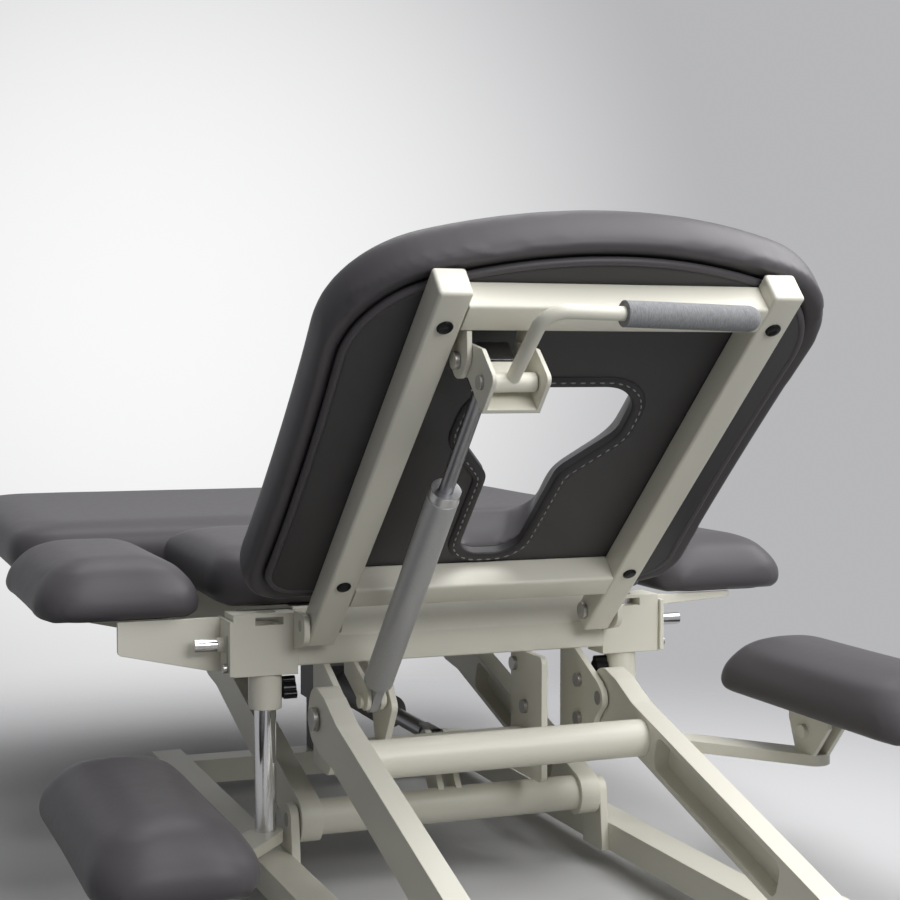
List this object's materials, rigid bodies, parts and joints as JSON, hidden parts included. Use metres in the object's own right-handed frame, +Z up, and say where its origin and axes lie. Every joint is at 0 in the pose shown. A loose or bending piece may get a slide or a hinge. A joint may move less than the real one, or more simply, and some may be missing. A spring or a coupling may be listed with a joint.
{
  "type": "physiotherapy table",
  "caption": "Height-adjustable physiotherapy table with a raised head section, keyhole face opening, gas spring with release lever, side pads, low pads and a wide level leg section",
  "frame": {"origin": "on the floor under the middle of the overall box", "axes": "+Z up, +Y towards the foot end, +X to the right seen from the head end"},
  "size_m": [1.184, 1.96, 0.9116],
  "materials": {
    "frame_paint": "satin",
    "upholstery": "satin",
    "board": "matte",
    "chrome": "polished",
    "steel": "satin",
    "rod_steel": "satin",
    "grey_paint": "satin",
    "cap_plastic": "satin",
    "black_plastic": "gloss",
    "grip_foam": "matte",
    "foot_rubber": "matte",
    "actuator_plastic": "matte"
  },
  "bodies": {
    "base": {"base_rails": "frame_paint", "base_cross_tubes": "frame_paint", "levelling_feet": "foot_rubber", "base_lugs": "frame_paint", "base_pins": "steel", "actuator_housing": "actuator_plastic"},
    "lift_front": {"front_arm_left": "frame_paint", "front_arm_right": "frame_paint", "front_torsion_tube": "frame_paint"},
    "lift_rear": {"rear_arm_left": "frame_paint", "rear_arm_right": "frame_paint", "rear_torsion_tube": "frame_paint"},
    "ram": {"actuator_rod": "rod_steel"},
    "top": {"front_beam": "frame_paint", "side_rails": "frame_paint", "frame_beams": "frame_paint", "frame_plates": "frame_paint", "frame_bolts": "steel", "hinge_pins": "steel", "side_bracket_left": "frame_paint", "side_bracket_right": "frame_paint", "gas_bracket": "frame_paint", "seat_board": "board", "seat_cushion": "upholstery"},
    "leg": {"leg_rails": "frame_paint", "leg_board": "board", "leg_cushion": "upholstery"},
    "head": {"head_rail_left": "frame_paint", "head_rail_right": "frame_paint", "rail_caps": "cap_plastic", "rail_plugs": "black_plastic", "head_cross_tubes": "frame_paint", "head_board": "board", "head_cushion": "upholstery", "ear_plates": "frame_paint"},
    "yoke": {"yoke_bracket": "frame_paint", "yoke_shaft": "steel", "gas_rod": "rod_steel"},
    "lever": {"lever_arm": "frame_paint", "lever_grip": "grip_foam"},
    "gas": {"gas_cylinder": "grey_paint", "guide_ring": "chrome"},
    "side_left": {"side_carrier_left": "frame_paint", "side_board_left": "board", "side_cushion_left": "upholstery"},
    "plunger_left": {"plunger_left": "chrome"},
    "drop_left": {"drop_post_left": "chrome", "drop_arm_left": "frame_paint", "drop_board_left": "board", "drop_cushion_left": "upholstery"},
    "clamp_left": {"clamp_knob_left": "black_plastic"},
    "side_right": {"side_carrier_right": "frame_paint", "side_board_right": "board", "side_cushion_right": "upholstery"},
    "plunger_right": {"plunger_right": "chrome"},
    "drop_right": {"drop_post_right": "chrome", "drop_arm_right": "frame_paint", "drop_board_right": "board", "drop_cushion_right": "upholstery"},
    "clamp_right": {"clamp_knob_right": "black_plastic"}
  },
  "joints": [
    {"name": "lift", "type": "hinge", "parent": "base", "child": "lift_front", "pos_m": [0, -0.92194, 0.10695], "axis": [1, 0, 0], "range_deg": [0, 50]},
    {"name": "top_level", "type": "hinge", "parent": "lift_front", "child": "top", "pos_m": [0, -0.385, 0.266], "axis": [1, 0, 0], "range_deg": [-50, 0]},
    {"name": "rear_lift", "type": "hinge", "parent": "base", "child": "lift_rear", "pos_m": [0, -0.28194, 0.10695], "axis": [1, 0, 0], "range_deg": [0, 50]},
    {"name": "ram_slide", "type": "slide", "parent": "base", "child": "ram", "axis": [0, -1, 0], "range_m": [0, 0.0805]},
    {"name": "head_tilt", "type": "hinge", "parent": "top", "child": "head", "pos_m": [0, -0.34, 0.384], "axis": [-1, 0, 0], "range_deg": [-41.7, 17.5]},
    {"name": "yoke_pivot", "type": "hinge", "parent": "head", "child": "yoke", "pos_m": [-0.137, -0.77699, 0.73986], "axis": [1, 0, 0], "range_deg": [-3.9, 1.8]},
    {"name": "gas_slide", "type": "slide", "parent": "yoke", "child": "gas", "axis": [0, 0.6814, -0.7319], "range_m": [-0.063, 0.0285]},
    {"name": "lever_turn", "type": "hinge", "parent": "yoke", "child": "lever", "pos_m": [-0.137, -0.83092, 0.71561], "axis": [-1, 0, 0], "range_deg": [0, 10], "stiffness_Nm_per_rad": 8, "springref_deg": -5.73},
    {"name": "leg_tilt", "type": "hinge", "parent": "top", "child": "leg", "pos_m": [0, 0.154, 0.384], "axis": [1, 0, 0], "range_deg": [0, 15]},
    {"name": "side_slide_left", "type": "slide", "parent": "top", "child": "side_left", "axis": [0, 0, 1], "range_m": [-0.04, 0]},
    {"name": "plunger_pull_left", "type": "slide", "parent": "side_left", "child": "plunger_left", "axis": [-1, 0, 0], "range_m": [0, 0.008], "stiffness_N_per_m": 500, "springref_m": -0.004},
    {"name": "drop_slide_left", "type": "slide", "parent": "top", "child": "drop_left", "axis": [0, 0, 1], "range_m": [0, 0.1]},
    {"name": "clamp_turn_left", "type": "hinge", "parent": "top", "child": "clamp_left", "pos_m": [-0.237, -0.285, 0.29], "axis": [1, 0, 0], "range_deg": [-180, 180]},
    {"name": "side_slide_right", "type": "slide", "parent": "top", "child": "side_right", "axis": [0, 0, 1], "range_m": [-0.04, 0]},
    {"name": "plunger_pull_right", "type": "slide", "parent": "side_right", "child": "plunger_right", "axis": [1, 0, 0], "range_m": [0, 0.008], "stiffness_N_per_m": 500, "springref_m": -0.004},
    {"name": "drop_slide_right", "type": "slide", "parent": "top", "child": "drop_right", "axis": [0, 0, 1], "range_m": [-0.1, 0]},
    {"name": "clamp_turn_right", "type": "hinge", "parent": "top", "child": "clamp_right", "pos_m": [0.237, -0.285, 0.29], "axis": [1, 0, 0], "range_deg": [-180, 180]}
  ],
  "couplings": [
    {"joint": "top_level", "follows": "lift", "ratio": -1},
    {"joint": "rear_lift", "follows": "lift", "ratio": 1},
    {"joint": "ram_slide", "follows": "lift", "m_per_rad": 0.0905},
    {"joint": "yoke_pivot", "follows": "head_tilt", "ratio": 0.09},
    {"joint": "gas_slide", "follows": "head_tilt", "m_per_rad": 0.085}
  ]
}
